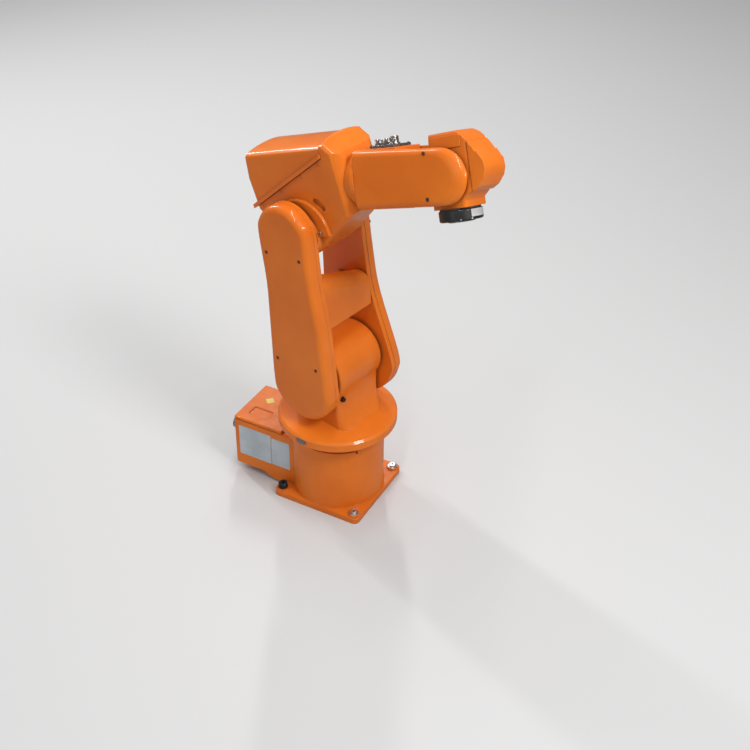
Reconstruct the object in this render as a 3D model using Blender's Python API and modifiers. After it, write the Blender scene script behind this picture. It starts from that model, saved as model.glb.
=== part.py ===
"""Small six-axis table-top robot arm, in metres, +Z up.

The origin is on axis 1 at the underside of the foot. +X is the front of the foot and +Y its left.
Each axis has an empty of its own, and every moving piece hangs from the empty of its axis.
"""
import math

import bmesh
import bpy
from mathutils import Matrix, Vector

# Clearances
SEAT_GAP = 0.0003
COVER_SEAM = 0.0005

# Axes of the arm
AXIS_2_HEIGHT = 0.290
LOWER_ARM_LENGTH = 0.270
FOREARM_RISE = 0.070
FOREARM_JOINT = 0.134
WRIST_REACH = 0.302
FLANGE_REACH = 0.072

# Pose of the photograph, in degrees
TURN = -10.5
SHOULDER_LEAN = -5.5
ELBOW_BEND = -15.0
FOREARM_ROLL = -14.0
WRIST_BEND = 86.5

# Base casting
FOOT_SIDE = 0.180
FOOT_THICKNESS = 0.012
FOOT_CORNER = 0.010
FOOT_BOLT_OFFSET = 0.077
FOOT_BOLT_RADIUS = 0.005
BOLT_PAD_RADIUS = 0.011
BOLT_PAD_HEIGHT = 0.003
COLUMN_RADIUS = 0.0865
COLUMN_TOP = AXIS_2_HEIGHT - 0.135
COLUMN_FILLET = 0.004
BEARING_RADIUS = 0.080
BEARING_HEIGHT = 0.008

# Connector housing behind the column
HOUSING_REAR = 0.196
HOUSING_HALF_WIDTH = 0.0565
HOUSING_TOP = COLUMN_TOP - 0.035
HOUSING_BOTTOM = 0.014
HOUSING_STEP = 0.131
HOUSING_ROUND = 0.006
LID_THICKNESS = 0.006
LID_RECESS_DEPTH = 0.002
PANEL_THICKNESS = 0.003
PANEL_MARGIN = 0.006
SOCKET_DEPTH = 0.012
MOTOR_SOCKET_WIDTH = 0.044
MOTOR_SOCKET_HEIGHT = 0.030
SIGNAL_SOCKET_RADIUS = 0.012
AIR_INLET_RADIUS = 0.003
AIR_INLET_PITCH = 0.012
AIR_INLET_COUNT = 4

# Turntable and shoulder
TURNTABLE_RADIUS = 0.110
TURNTABLE_RIM = 0.019
TURNTABLE_SLOPE = 0.008
PEDESTAL_HALF_DEPTH = 0.058
WAIST_HALF_DEPTH = 0.047
WAIST_HEIGHT = AXIS_2_HEIGHT - 0.050
SHOULDER_RADIUS = 0.057
SHOULDER_BOSS_RADIUS = 0.046
SHOULDER_SIDE_GAP = 0.004
STOP_PLACE = (0.0, -0.043, WAIST_HEIGHT + 0.008)
STOP_RADIUS = 0.0055
STOP_LENGTH = 0.006

# Lower arm
PLATE_INNER = 0.060
PLATE_OUTER = 0.091
PLATE_CASTING = 0.009
PLATE_BEVEL = 0.012
PLATE_HIGH_CENTRE = {"right": -0.018, "left": -0.024}
PLATE_HIGH_RADIUS = {"right": 0.055, "left": 0.050}
PLATE_WAIST_FRONT = {"right": 0.040, "left": 0.031}
PLATE_WAIST_REAR = 0.068
PLATE_LOW_CENTRE = {"right": -0.012, "left": 0.001}
PLATE_LOW_RADIUS = {"right": 0.066, "left": 0.074}
PLATE_LOW_DROP = 0.018
WEB_FRONT = 0.040
WEB_REAR = 0.034
WEB_BOTTOM = 0.098
WEB_TOP = LOWER_ARM_LENGTH - 0.070
WEB_FALL = 0.040
WEB_SADDLE = LOWER_ARM_LENGTH - 0.124
WEB_LIP = 0.026
WEB_ROUND = 0.022

# Elbow housing
ELBOW_HALF_WIDTH = 0.049
ELBOW_BOSS_RADIUS = 0.038
ELBOW_RIDGE_RADIUS = 0.060
ELBOW_RIDGE_PROUD = 0.006
ELBOW_SIDE_TOP = 0.131
ELBOW_TOP = 0.147
ELBOW_REAR = 0.096
ELBOW_REAR_LOW = 0.049
ELBOW_HUB_RADIUS = 0.040
ELBOW_FRONT = 0.118
ELBOW_SEAM_END = 0.086
ELBOW_BAND_PROUD = 0.003
ELBOW_ROUND = 0.008
SEAM_SLOPE = 0.405
SEAM_FLANGE_WIDTH = 0.005
SEAM_FLANGE_PROUD = 0.002
NECK_RADIUS = 0.046
NECK_START = 0.088
NECK_SWELL = 0.004
POCKET_PLACE = (0.046, 0.0, 0.052)
POCKET_RADIUS = 0.006
POCKET_DEPTH = 0.004

# Forearm fork
FORK_HALF_WIDTH = 0.042
FORK_HALF_HEIGHT = 0.046
TINE_INNER = 0.030
TINE_RELIEF_START = 0.060
TINE_RELIEF_END = 0.016
TINE_RELIEF_DEPTH = 0.010
TINE_TOP_BEVEL = 0.011
FORK_ROOT_END = 0.214
CONNECTION_PLATE_LENGTH = 0.050
CONNECTION_PLATE_WIDTH = 0.040
CONNECTION_PLATE_THICKNESS = 0.004
CONNECTION_START = 0.154
CONNECTOR_RADIUS = 0.007
CONNECTOR_HEIGHT = 0.012
AIR_OUTLET_RADIUS = 0.003
AIR_OUTLET_HEIGHT = 0.009

# Wrist
WRIST_HALF_WIDTH = 0.025
WRIST_HUB_RADIUS = 0.030
WRIST_BODY_RADIUS = 0.042
WRIST_TOP = 0.060
WRIST_REAR = 0.027
WRIST_SEAM = 0.0465
WRIST_COVER_DEPTH = 0.027
WRIST_COVER_ROUND = 0.008
WRIST_ROUND = 0.005
WRIST_NECK_HALF = 0.032
WRIST_COLLAR_RADIUS = 0.031
WRIST_COLLAR_START = 0.051
WRIST_COLLAR_LENGTH = 0.002
WRIST_PANEL_THICKNESS = 0.0012

# Tool flange
FLANGE_RADIUS = 0.033
FLANGE_FACE_RADIUS = 0.020
FLANGE_FACE_HEIGHT = 0.002
FLANGE_BORE_RADIUS = 0.010
FLANGE_HOLE_CIRCLE = 0.01575
FLANGE_HOLE_RADIUS = 0.0021

# Colours
ORANGE = (0.80, 0.20, 0.03)
DARK = (0.03, 0.03, 0.035)
STEEL = (0.45, 0.45, 0.47)
ALUMINIUM = (0.70, 0.70, 0.72)
BLACK_PLASTIC = (0.02, 0.02, 0.02)

PARTS_NAME = "robot_arm"
CUTTERS_NAME = "cutters"
ROUND_STEPS = 40
CUT_MARGIN = 0.002

# Turns a profile drawn up Z so that it lies along X
LATHE_TO_X = Matrix(((0, 0, 1, 0), (0, 1, 0, 0), (-1, 0, 0, 0), (0, 0, 0, 1)))


# Scene and material helpers

def clear_scene():
    for old in list(bpy.data.objects):
        bpy.data.objects.remove(old, do_unlink=True)


def new_collection(name):
    collection = bpy.data.collections.new(name)
    bpy.context.scene.collection.children.link(collection)
    return collection


def new_frame(name, parent, location, axis, degrees):
    """An empty at a joint, turned about one of its own axes."""
    frame = bpy.data.objects.new(name, None)
    PARTS.objects.link(frame)
    frame.parent = parent
    frame.location = location
    angles = {"X": (1, 0, 0), "Y": (0, 1, 0), "Z": (0, 0, 1)}[axis]
    frame.rotation_euler = [math.radians(degrees) * part for part in angles]
    return frame


def dress(obj, colour, roughness, metallic):
    """Give the object a Principled material of its own."""
    material = bpy.data.materials.new(obj.name + "_finish")
    material.use_nodes = True
    shader = material.node_tree.nodes["Principled BSDF"]
    shader.inputs["Base Color"].default_value = (*colour, 1.0)
    shader.inputs["Roughness"].default_value = roughness
    shader.inputs["Metallic"].default_value = metallic
    obj.data.materials.clear()
    obj.data.materials.append(material)
    return obj


def painted(obj):
    return dress(obj, ORANGE, 0.3, 0.0)


def steel(obj):
    return dress(obj, STEEL, 0.35, 1.0)


def aluminium(obj):
    return dress(obj, ALUMINIUM, 0.4, 1.0)


def dark(obj):
    return dress(obj, DARK, 0.4, 0.0)


def plastic(obj):
    return dress(obj, BLACK_PLASTIC, 0.5, 0.0)


# Shape helpers

def add_object(name, data, frame):
    obj = bpy.data.objects.new(name, data)
    PARTS.objects.link(obj)
    obj.parent = frame
    return obj


def finish_mesh(name, bm, frame):
    """Turn a bmesh into a smooth-shaded object with sharp creases."""
    bmesh.ops.recalc_face_normals(bm, faces=bm.faces)
    mesh = bpy.data.meshes.new(name)
    bm.to_mesh(mesh)
    bm.free()
    mesh.shade_smooth()
    mesh.set_sharp_from_angle(angle=math.radians(35))
    return add_object(name, mesh, frame)


def block(name, frame, low, high):
    """A box between two opposite corners."""
    bm = bmesh.new()
    bmesh.ops.create_cube(bm, size=1.0)
    size = Vector(high) - Vector(low)
    centre = (Vector(high) + Vector(low)) / 2
    bmesh.ops.transform(bm, matrix=Matrix.Translation(centre) @ Matrix.Diagonal((*size, 1.0)), verts=bm.verts)
    return finish_mesh(name, bm, frame)


def drum(name, frame, axis, centre, span, radius, end_radius=None, steps=ROUND_STEPS):
    """A cylinder or cone along X, Y or Z, from span[0] to span[1] along that axis."""
    bm = bmesh.new()
    last = radius if end_radius is None else end_radius
    bmesh.ops.create_cone(bm, cap_ends=True, segments=steps, radius1=radius, radius2=last, depth=span[1] - span[0])
    turn = {"X": Matrix.Rotation(math.radians(90), 4, "Y"), "Y": Matrix.Rotation(math.radians(-90), 4, "X"),
            "Z": Matrix.Identity(4)}[axis]
    middle = Vector(centre)
    middle["XYZ".index(axis)] = (span[0] + span[1]) / 2
    bmesh.ops.transform(bm, matrix=Matrix.Translation(middle) @ turn, verts=bm.verts)
    return finish_mesh(name, bm, frame)


def arc(centre, radius, start, end, steps):
    """Points on a circle from one angle to another, in degrees."""
    points = []
    for index in range(steps + 1):
        angle = math.radians(start + (end - start) * index / steps)
        points.append((centre[0] + radius * math.cos(angle), centre[1] + radius * math.sin(angle)))
    return points


def outline_mesh(outline, span):
    """A filled flat outline in X and Z, as thick as the span along Y."""
    curve = bpy.data.curves.new("outline", "CURVE")
    curve.dimensions = "2D"
    curve.fill_mode = "BOTH"
    curve.extrude = (span[1] - span[0]) / 2
    spline = curve.splines.new("POLY")
    spline.points.add(len(outline) - 1)
    for point, (x, z) in zip(spline.points, outline):
        point.co = (x, z, 0.0, 1.0)
    spline.use_cyclic_u = True
    guide = bpy.data.objects.new("outline", curve)
    PARTS.objects.link(guide)
    bpy.context.view_layer.update()
    mesh = bpy.data.meshes.new_from_object(guide.evaluated_get(bpy.context.evaluated_depsgraph_get()))
    bpy.data.objects.remove(guide)
    bm = bmesh.new()
    bm.from_mesh(mesh)
    bpy.data.meshes.remove(mesh)
    bmesh.ops.remove_doubles(bm, verts=bm.verts, dist=0.00001)
    bmesh.ops.dissolve_limit(bm, angle_limit=math.radians(1), verts=bm.verts, edges=bm.edges)
    upright = Matrix.Translation((0, (span[0] + span[1]) / 2, 0)) @ Matrix.Rotation(math.radians(90), 4, "X")
    bmesh.ops.transform(bm, matrix=upright, verts=bm.verts)
    return bm


def slab(name, frame, outline, span, bevel=0.0, side=None, steps=3, keep=None):
    """A flat outline made thick along Y, its rims rounded on one side ("low" or "high") or on both.

    The edges for which keep is true stay sharp.
    """
    bm = outline_mesh(outline, span)
    if bevel > 0:
        planes = {"low": span[:1], "high": span[1:], None: span}[side]
        rims = [edge for edge in bm.edges
                if any(all(abs(vert.co.y - plane) < 0.00001 for vert in edge.verts) for plane in planes)
                and not (keep and keep(edge))]
        bmesh.ops.bevel(bm, geom=rims, offset=bevel, segments=steps, profile=0.5, affect="EDGES", material=-1,
                        clamp_overlap=True)
    return finish_mesh(name, bm, frame)


def turned(name, frame, profile, steps=ROUND_STEPS, lathe=None):
    """A profile of (radius, height) points, top to bottom on the outer side, turned about Z."""
    bm = bmesh.new()
    verts = [bm.verts.new((radius, 0.0, height)) for radius, height in profile]
    for first, second in zip(verts, verts[1:]):
        bm.edges.new((first, second))
    if lathe:
        bmesh.ops.transform(bm, matrix=lathe, verts=bm.verts)
    mesh = bpy.data.meshes.new(name)
    bm.to_mesh(mesh)
    bm.free()
    obj = add_object(name, mesh, frame)
    screw = obj.modifiers.new("turn", "SCREW")
    screw.axis = "Z" if lathe is None else "X"
    screw.steps = steps
    screw.render_steps = steps
    screw.use_merge_vertices = True
    screw.merge_threshold = 0.00001
    screw.use_smooth_shade = True
    return obj


def join(target, tool, operation="UNION"):
    """Join a second shape to the target, or cut it away."""
    PARTS.objects.unlink(tool)
    CUTTERS.objects.link(tool)
    tool.hide_render = True
    tool.display_type = "WIRE"
    boolean = target.modifiers.new(tool.name, "BOOLEAN")
    boolean.operation = operation
    boolean.solver = "EXACT"
    boolean.object = tool
    return target


def cut(target, tool):
    return join(target, tool, "DIFFERENCE")


def soften(obj, width, steps=2, angle=40):
    """Round every edge that is sharper than the angle."""
    bevel = obj.modifiers.new("round", "BEVEL")
    bevel.width = width
    bevel.segments = steps
    bevel.limit_method = "ANGLE"
    bevel.angle_limit = math.radians(angle)
    return obj


def rounded_rectangle(half_x, half_y, radius, steps=4):
    """Corner points of a rectangle round the origin, with round corners."""
    points = []
    for sign_x, sign_y, start in ((1, 1, 0), (-1, 1, 90), (-1, -1, 180), (1, -1, 270)):
        centre = (sign_x * (half_x - radius), sign_y * (half_y - radius))
        points += arc(centre, radius, start, start + 90, steps)
    return points


# Base

def foot_plate():
    """The square foot, drawn lying down and stood on its underside."""
    half = FOOT_SIDE / 2
    plate = slab("foot_plate", None, rounded_rectangle(half, half, FOOT_CORNER), (0.0, FOOT_THICKNESS))
    plate.data.transform(Matrix.Translation((0, 0, FOOT_THICKNESS)) @ Matrix.Rotation(math.radians(-90), 4, "X"))
    return plate


def base_casting():
    """Foot, round column and rear housing in one casting."""
    casting = foot_plate()
    casting.name = "base_casting"
    column = turned("column", None, [
        (0.0, COLUMN_TOP),
        (COLUMN_RADIUS - COLUMN_FILLET, COLUMN_TOP),
        (COLUMN_RADIUS, COLUMN_TOP - COLUMN_FILLET),
        (COLUMN_RADIUS, FOOT_THICKNESS + COLUMN_FILLET),
        (COLUMN_RADIUS + COLUMN_FILLET / 2, FOOT_THICKNESS - CUT_MARGIN),
        (0.0, FOOT_THICKNESS - CUT_MARGIN)], steps=56)
    join(casting, column)
    body = slab("rear_housing", None, [
        (-HOUSING_REAR, HOUSING_TOP),
        (-HOUSING_REAR, HOUSING_BOTTOM),
        (-HOUSING_STEP - 0.004, HOUSING_BOTTOM),
        (-HOUSING_STEP, HOUSING_BOTTOM - 0.004),
        (-FOOT_SIDE / 2 - 0.020, CUT_MARGIN),
        (-FOOT_SIDE / 2 + 0.030, CUT_MARGIN),
        (-FOOT_SIDE / 2 + 0.030, HOUSING_TOP)],
        (-HOUSING_HALF_WIDTH, HOUSING_HALF_WIDTH))
    soften(body, HOUSING_ROUND / 2)
    join(casting, body)
    for sign_x in (-1, 1):
        for sign_y in (-1, 1):
            spot = (sign_x * FOOT_BOLT_OFFSET, sign_y * FOOT_BOLT_OFFSET, 0)
            top = FOOT_THICKNESS + BOLT_PAD_HEIGHT
            join(casting, drum("bolt_pad", None, "Z", spot, (CUT_MARGIN, top), BOLT_PAD_RADIUS, steps=20))
            cut(casting, drum("bolt_hole", None, "Z", spot, (-CUT_MARGIN, top + CUT_MARGIN), FOOT_BOLT_RADIUS,
                              steps=16))
    return painted(casting)


def bearing_ring():
    """Dark ring in the groove between the column and the turntable."""
    span = (COLUMN_TOP + SEAT_GAP, COLUMN_TOP + BEARING_HEIGHT)
    return dark(drum("bearing_ring", None, "Z", (0, 0, 0), span, BEARING_RADIUS, steps=48))


def housing_lid():
    """Top cover of the rear housing, with a shallow recess."""
    front = COLUMN_RADIUS + 0.004
    low = HOUSING_TOP + COVER_SEAM
    lid = block("housing_lid", None, (-HOUSING_REAR, -HOUSING_HALF_WIDTH, low),
                (-front, HOUSING_HALF_WIDTH, low + LID_THICKNESS))
    soften(lid, HOUSING_ROUND / 3)
    recess = block("lid_recess", None, (-HOUSING_REAR + 0.020, -0.036, low + LID_THICKNESS - LID_RECESS_DEPTH),
                   (-HOUSING_REAR + 0.062, -0.012, low + LID_THICKNESS + CUT_MARGIN))
    soften(recess, HOUSING_ROUND)
    return painted(cut(lid, recess))


def rear_panel():
    """Plate that carries the sockets on the rear of the housing."""
    rear = -HOUSING_REAR - COVER_SEAM
    half = HOUSING_HALF_WIDTH - PANEL_MARGIN
    panel = block("rear_panel", None, (rear - PANEL_THICKNESS, -half, HOUSING_BOTTOM + PANEL_MARGIN),
                  (rear, half, HOUSING_TOP - PANEL_MARGIN))
    return aluminium(soften(panel, PANEL_THICKNESS / 3, steps=1))


def panel_face():
    """Where the outside of the rear panel lies along X."""
    return -HOUSING_REAR - COVER_SEAM - PANEL_THICKNESS - SEAT_GAP


def motor_socket():
    """Rectangular power socket, open to the rear."""
    face = panel_face()
    centre_y, centre_z = 0.020, HOUSING_TOP - 0.032
    half_y, half_z = MOTOR_SOCKET_WIDTH / 2, MOTOR_SOCKET_HEIGHT / 2
    socket = block("motor_socket", None, (face - SOCKET_DEPTH, centre_y - half_y, centre_z - half_z),
                   (face, centre_y + half_y, centre_z + half_z))
    wall = 0.003
    bay = block("motor_socket_bay", None,
                (face - SOCKET_DEPTH - CUT_MARGIN, centre_y - half_y + wall, centre_z - half_z + wall),
                (face - wall, centre_y + half_y - wall, centre_z + half_z - wall))
    return plastic(cut(socket, bay))


def signal_socket():
    """Round signal socket, open to the rear."""
    face = panel_face()
    centre = (0, -0.028, HOUSING_TOP - 0.032)
    socket = drum("signal_socket", None, "X", centre, (face - SOCKET_DEPTH, face), SIGNAL_SOCKET_RADIUS, steps=24)
    bay = drum("signal_socket_bay", None, "X", centre, (face - SOCKET_DEPTH - CUT_MARGIN, face - 0.003),
               SIGNAL_SOCKET_RADIUS - 0.003, steps=24)
    return steel(cut(socket, bay))


def air_inlets():
    """A block with a row of short air unions."""
    face = panel_face()
    height = 0.042
    half = AIR_INLET_PITCH * AIR_INLET_COUNT / 2
    rail = block("air_inlets", None, (face - 0.004, -half, height - 0.007), (face, half, height + 0.007))
    for index in range(AIR_INLET_COUNT):
        centre = (0, (index - (AIR_INLET_COUNT - 1) / 2) * AIR_INLET_PITCH, height)
        join(rail, drum("air_inlet", None, "X", centre, (face - SOCKET_DEPTH, face - 0.002), AIR_INLET_RADIUS,
                        steps=12))
    return aluminium(rail)


# Turntable

def turntable_low():
    return COLUMN_TOP + BEARING_HEIGHT + SEAT_GAP


def shoulder_casting():
    """Turntable disc, pedestal and the drum that the lower arm turns on."""
    low = turntable_low()
    top = low + TURNTABLE_RIM
    casting = turned("shoulder_casting", AXIS_1, [
        (0.0, top + TURNTABLE_SLOPE),
        (PEDESTAL_HALF_DEPTH, top + TURNTABLE_SLOPE),
        (TURNTABLE_RADIUS - 0.004, top),
        (TURNTABLE_RADIUS, top - 0.004),
        (TURNTABLE_RADIUS, low + 0.001),
        (TURNTABLE_RADIUS - 0.001, low),
        (0.0, low)], steps=56)
    inner = PLATE_INNER - SHOULDER_SIDE_GAP
    pedestal = slab("pedestal", AXIS_1, pedestal_outline(top), (-inner, inner), bevel=0.004)
    join(casting, pedestal)
    boss = drum("shoulder_boss", AXIS_1, "Y", (0, 0, AXIS_2_HEIGHT),
                (-PLATE_INNER + SEAT_GAP, PLATE_INNER - SEAT_GAP), SHOULDER_BOSS_RADIUS)
    return painted(join(casting, boss))


def pedestal_outline(top):
    """Side view of the pedestal: a foot that flares out below a waist and a round head."""
    flare_height = WAIST_HEIGHT - top
    flare_depth = PEDESTAL_HALF_DEPTH - WAIST_HALF_DEPTH
    rear_flare = [(-WAIST_HALF_DEPTH - flare_depth * (1 - math.sin(math.radians(angle))),
                   WAIST_HEIGHT - flare_height * math.cos(math.radians(angle))) for angle in range(0, 91, 15)]
    front_flare = [(-x, z) for x, z in reversed(rear_flare)]
    start = math.degrees(math.acos(WAIST_HALF_DEPTH / SHOULDER_RADIUS))
    head = arc((0, AXIS_2_HEIGHT), SHOULDER_RADIUS, -start, 180 + start, 20)
    foot = [(PEDESTAL_HALF_DEPTH, top - 0.006), (-PEDESTAL_HALF_DEPTH, top - 0.006)]
    return front_flare + foot + rear_flare + list(reversed(head))


def shoulder_stop():
    """Stop screw on the front of the pedestal, close to the lower arm."""
    face = WAIST_HALF_DEPTH + SEAT_GAP
    return steel(drum("shoulder_stop", AXIS_1, "X", STOP_PLACE, (face, face + STOP_LENGTH), STOP_RADIUS, steps=16))


# Lower arm

def smooth_outline(points, steps=4):
    """A closed smooth curve through the points."""
    count = len(points)
    curve = []
    for index in range(count):
        before, first, second, after = (Vector(points[(index + shift) % count]) for shift in (-1, 0, 1, 2))
        for step in range(steps):
            t = step / steps
            bend = (-before + 3 * first - 3 * second + after) * t ** 3
            swing = (2 * before - 5 * first + 4 * second - after) * t ** 2
            curve.append(tuple((bend + swing + (second - before) * t) / 2 + first))
    return curve


def plate_outline(name):
    """Side view of one side of the lower arm: a lobe round each axis and a slight waist between them."""
    high = LOWER_ARM_LENGTH + 0.002
    waist = PLATE_WAIST_FRONT[name]
    upper = arc((PLATE_HIGH_CENTRE[name], high), PLATE_HIGH_RADIUS[name], 10, 180, 6)
    lower = arc((PLATE_LOW_CENTRE[name], -PLATE_LOW_DROP), PLATE_LOW_RADIUS[name], 180, 370, 7)
    rear = [(-PLATE_WAIST_REAR, high * 0.66), (-PLATE_WAIST_REAR - 0.004, high * 0.36)]
    front = [(waist + 0.009, high * 0.42), (waist, high * 0.70)]
    return smooth_outline(upper + rear + lower + front)


def arm_plate(side):
    """One side of the lower arm: the casting next to the joints and the cover outside it."""
    name = "right" if side < 0 else "left"
    outline = plate_outline(name)
    split = PLATE_INNER + PLATE_CASTING
    inner = sorted((side * PLATE_INNER, side * split))
    outer = sorted((side * (split + COVER_SEAM), side * PLATE_OUTER))
    casting = slab(name + "_arm_casting", AXIS_2, outline, inner)
    cover = slab(name + "_arm_cover", AXIS_2, outline, outer, bevel=PLATE_BEVEL,
                 side="low" if side < 0 else "high", steps=4)
    return painted(casting), painted(cover)


def arm_web():
    """Cross-piece between the two sides, low at the back for the elbow housing, its top falling to the left."""
    outline = [
        (WEB_FRONT, WEB_BOTTOM)]
    outline += arc((WEB_FRONT - WEB_ROUND, WEB_TOP - WEB_ROUND), WEB_ROUND, 0, 90, 5)
    outline += [
        (WEB_FRONT - WEB_LIP, WEB_TOP),
        (WEB_FRONT - WEB_LIP - 0.014, WEB_SADDLE),
        (-WEB_REAR, WEB_SADDLE),
        (-WEB_REAR, WEB_BOTTOM)]
    half = PLATE_INNER - SEAT_GAP
    web = slab("arm_web", AXIS_2, outline, (-half, half))
    for vert in web.data.vertices:
        if vert.co.y > 0 and vert.co.z > WEB_TOP - WEB_ROUND - 0.001:
            vert.co.z -= WEB_FALL
    return painted(web)


# Elbow

def seam_height(x):
    """Height of the cover's seam above axis 3 at a place along the housing."""
    return ELBOW_REAR_LOW + SEAM_SLOPE * (x + ELBOW_REAR)


def elbow_arch(name, grow):
    """End view of the housing, upright sides under an arched top, drawn long enough to trim it."""
    half = ELBOW_HALF_WIDTH + grow
    rise = ELBOW_TOP - ELBOW_SIDE_TOP
    top = [(half * math.cos(math.radians(angle)),
            ELBOW_SIDE_TOP + grow + rise * math.sin(math.radians(angle)) ** 0.8) for angle in range(0, 181, 15)]
    arch = slab(name, AXIS_3, top + [(-half, -ELBOW_TOP), (half, -ELBOW_TOP)], (-ELBOW_TOP, ELBOW_TOP))
    arch.data.transform(Matrix.Rotation(math.radians(90), 4, "Z"))
    return arch


def elbow_body(name):
    """The whole elbow housing in one, before it is split along its seam."""
    outline = [
        (ELBOW_FRONT, FOREARM_RISE - NECK_RADIUS + NECK_SWELL),
        (ELBOW_FRONT, ELBOW_TOP - 0.034),
        (ELBOW_FRONT - 0.003, ELBOW_TOP - 0.023),
        (ELBOW_FRONT - 0.018, ELBOW_TOP - 0.009),
        (ELBOW_SEAM_END + 0.004, ELBOW_TOP + ELBOW_BAND_PROUD - 0.001),
        (ELBOW_SEAM_END, ELBOW_TOP + ELBOW_BAND_PROUD),
        (-ELBOW_REAR + 0.016, ELBOW_TOP),
        (-ELBOW_REAR + 0.003, ELBOW_TOP - 0.012),
        (-ELBOW_REAR - 0.003, ELBOW_REAR_LOW + 0.050),
        (-ELBOW_REAR, ELBOW_REAR_LOW - 0.006)]
    outline += arc((0, 0), ELBOW_HUB_RADIUS, 232, 300, 8)
    return slab(name, AXIS_3, outline, (-ELBOW_HALF_WIDTH, ELBOW_HALF_WIDTH), bevel=ELBOW_ROUND)


def beside_seam(name, side):
    """A cutter for all the space above the seam or below it, which turns up at its front end."""
    reach = 0.200
    gap = -side * COVER_SEAM / 2
    turn = (ELBOW_SEAM_END - gap, seam_height(ELBOW_SEAM_END) + gap)
    line = [(-reach, seam_height(-reach) + gap), turn, (ELBOW_SEAM_END - gap, reach)]
    far = [(-reach, reach)] if side > 0 else [(reach, reach), (reach, -reach), (-reach, -reach)]
    return slab(name, AXIS_3, line + far, (-reach, reach))


def elbow_casting():
    """Front of the elbow housing, with its hub and the round neck of the forearm joint."""
    casting = join(elbow_body("elbow_casting"), elbow_arch("band_arch", ELBOW_BAND_PROUD), "INTERSECT")
    cut(casting, beside_seam("above_seam", 1))
    neck = turned("neck", AXIS_3, neck_profile(), lathe=LATHE_TO_X)
    neck.location = (0, 0, FOREARM_RISE)
    join(casting, neck)
    boss = drum("elbow_boss", AXIS_3, "Y", (0, 0, 0), (-PLATE_INNER + SEAT_GAP, PLATE_INNER - SEAT_GAP),
                ELBOW_BOSS_RADIUS)
    join(casting, boss)
    ridge = slab("ridge", AXIS_3, arc((0, 0), ELBOW_RIDGE_RADIUS, -6, 186, 24),
                 (-ELBOW_HALF_WIDTH - ELBOW_RIDGE_PROUD, -ELBOW_HALF_WIDTH + 0.010), bevel=0.003, side="low", steps=2)
    join(casting, ridge)
    for side in (-1, 1):
        span = sorted((side * (ELBOW_HALF_WIDTH - POCKET_DEPTH), side * (ELBOW_HALF_WIDTH + CUT_MARGIN)))
        cut(casting, drum("pocket", AXIS_3, "Y", POCKET_PLACE, span, POCKET_RADIUS, steps=16))
    return painted(casting)


def neck_profile():
    """The neck from the joint face back into the housing, as (radius, place along X)."""
    face = FOREARM_JOINT - SEAT_GAP
    return [
        (0.0, face),
        (NECK_RADIUS - 0.001, face),
        (NECK_RADIUS, face - 0.006),
        (NECK_RADIUS - NECK_SWELL / 4, face - 0.016),
        (NECK_RADIUS - NECK_SWELL, face - 0.030),
        (NECK_RADIUS - NECK_SWELL, NECK_START),
        (0.0, NECK_START)]


def elbow_cover():
    """Rear cover of the elbow housing, closed along a slanting flange."""
    cover = join(elbow_body("elbow_cover"), elbow_arch("cover_arch", 0.0), "INTERSECT")
    cut(cover, beside_seam("below_seam", -1))
    half = ELBOW_HALF_WIDTH + SEAM_FLANGE_PROUD
    start = -ELBOW_REAR - SEAM_FLANGE_PROUD
    low = COVER_SEAM / 2
    end = ELBOW_SEAM_END - low
    band = slab("seam_flange", AXIS_3, [
        (start, seam_height(start) + low),
        (end, seam_height(end) + low),
        (end, seam_height(end) + SEAM_FLANGE_WIDTH),
        (start, seam_height(start) + SEAM_FLANGE_WIDTH)], (-half, half))
    return painted(join(cover, band))


# Forearm

def fork_outline(half_height):
    """Side view of a tine: straight from the joint face, round at the wrist."""
    end = arc((WRIST_REACH, 0), half_height, -90, 90, 18)
    return [(FOREARM_JOINT + SEAT_GAP, half_height), (FOREARM_JOINT + SEAT_GAP, -half_height)] + end


def tine(side):
    """One side of the fork, relieved on its inner edges where the tool flange swings past."""
    name = "right_tine" if side < 0 else "left_tine"
    joint = FOREARM_JOINT + SEAT_GAP
    piece = slab(name, AXIS_4, fork_outline(FORK_HALF_HEIGHT), sorted((side * TINE_INNER, side * FORK_HALF_WIDTH)),
                 bevel=TINE_TOP_BEVEL, side="low" if side < 0 else "high", steps=3,
                 keep=lambda edge: all(abs(vert.co.x - joint) < 0.00001 for vert in edge.verts))
    wall = FLANGE_RADIUS + 0.0008
    for level in (-1, 1):
        low, high = sorted((level * (FORK_HALF_HEIGHT - TINE_RELIEF_DEPTH), level * (FORK_HALF_HEIGHT + CUT_MARGIN)))
        cut(piece, block("flange_relief", AXIS_4, (WRIST_REACH - TINE_RELIEF_START, -wall, low),
                         (WRIST_REACH - TINE_RELIEF_END, wall, high)))
    return painted(piece)


def fork_root():
    """Solid root between the two tines."""
    half = TINE_INNER - SEAT_GAP
    root = block("fork_root", AXIS_4, (FOREARM_JOINT + SEAT_GAP, -half, -FORK_HALF_HEIGHT),
                 (FORK_ROOT_END, half, FORK_HALF_HEIGHT))
    return painted(root)


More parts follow.
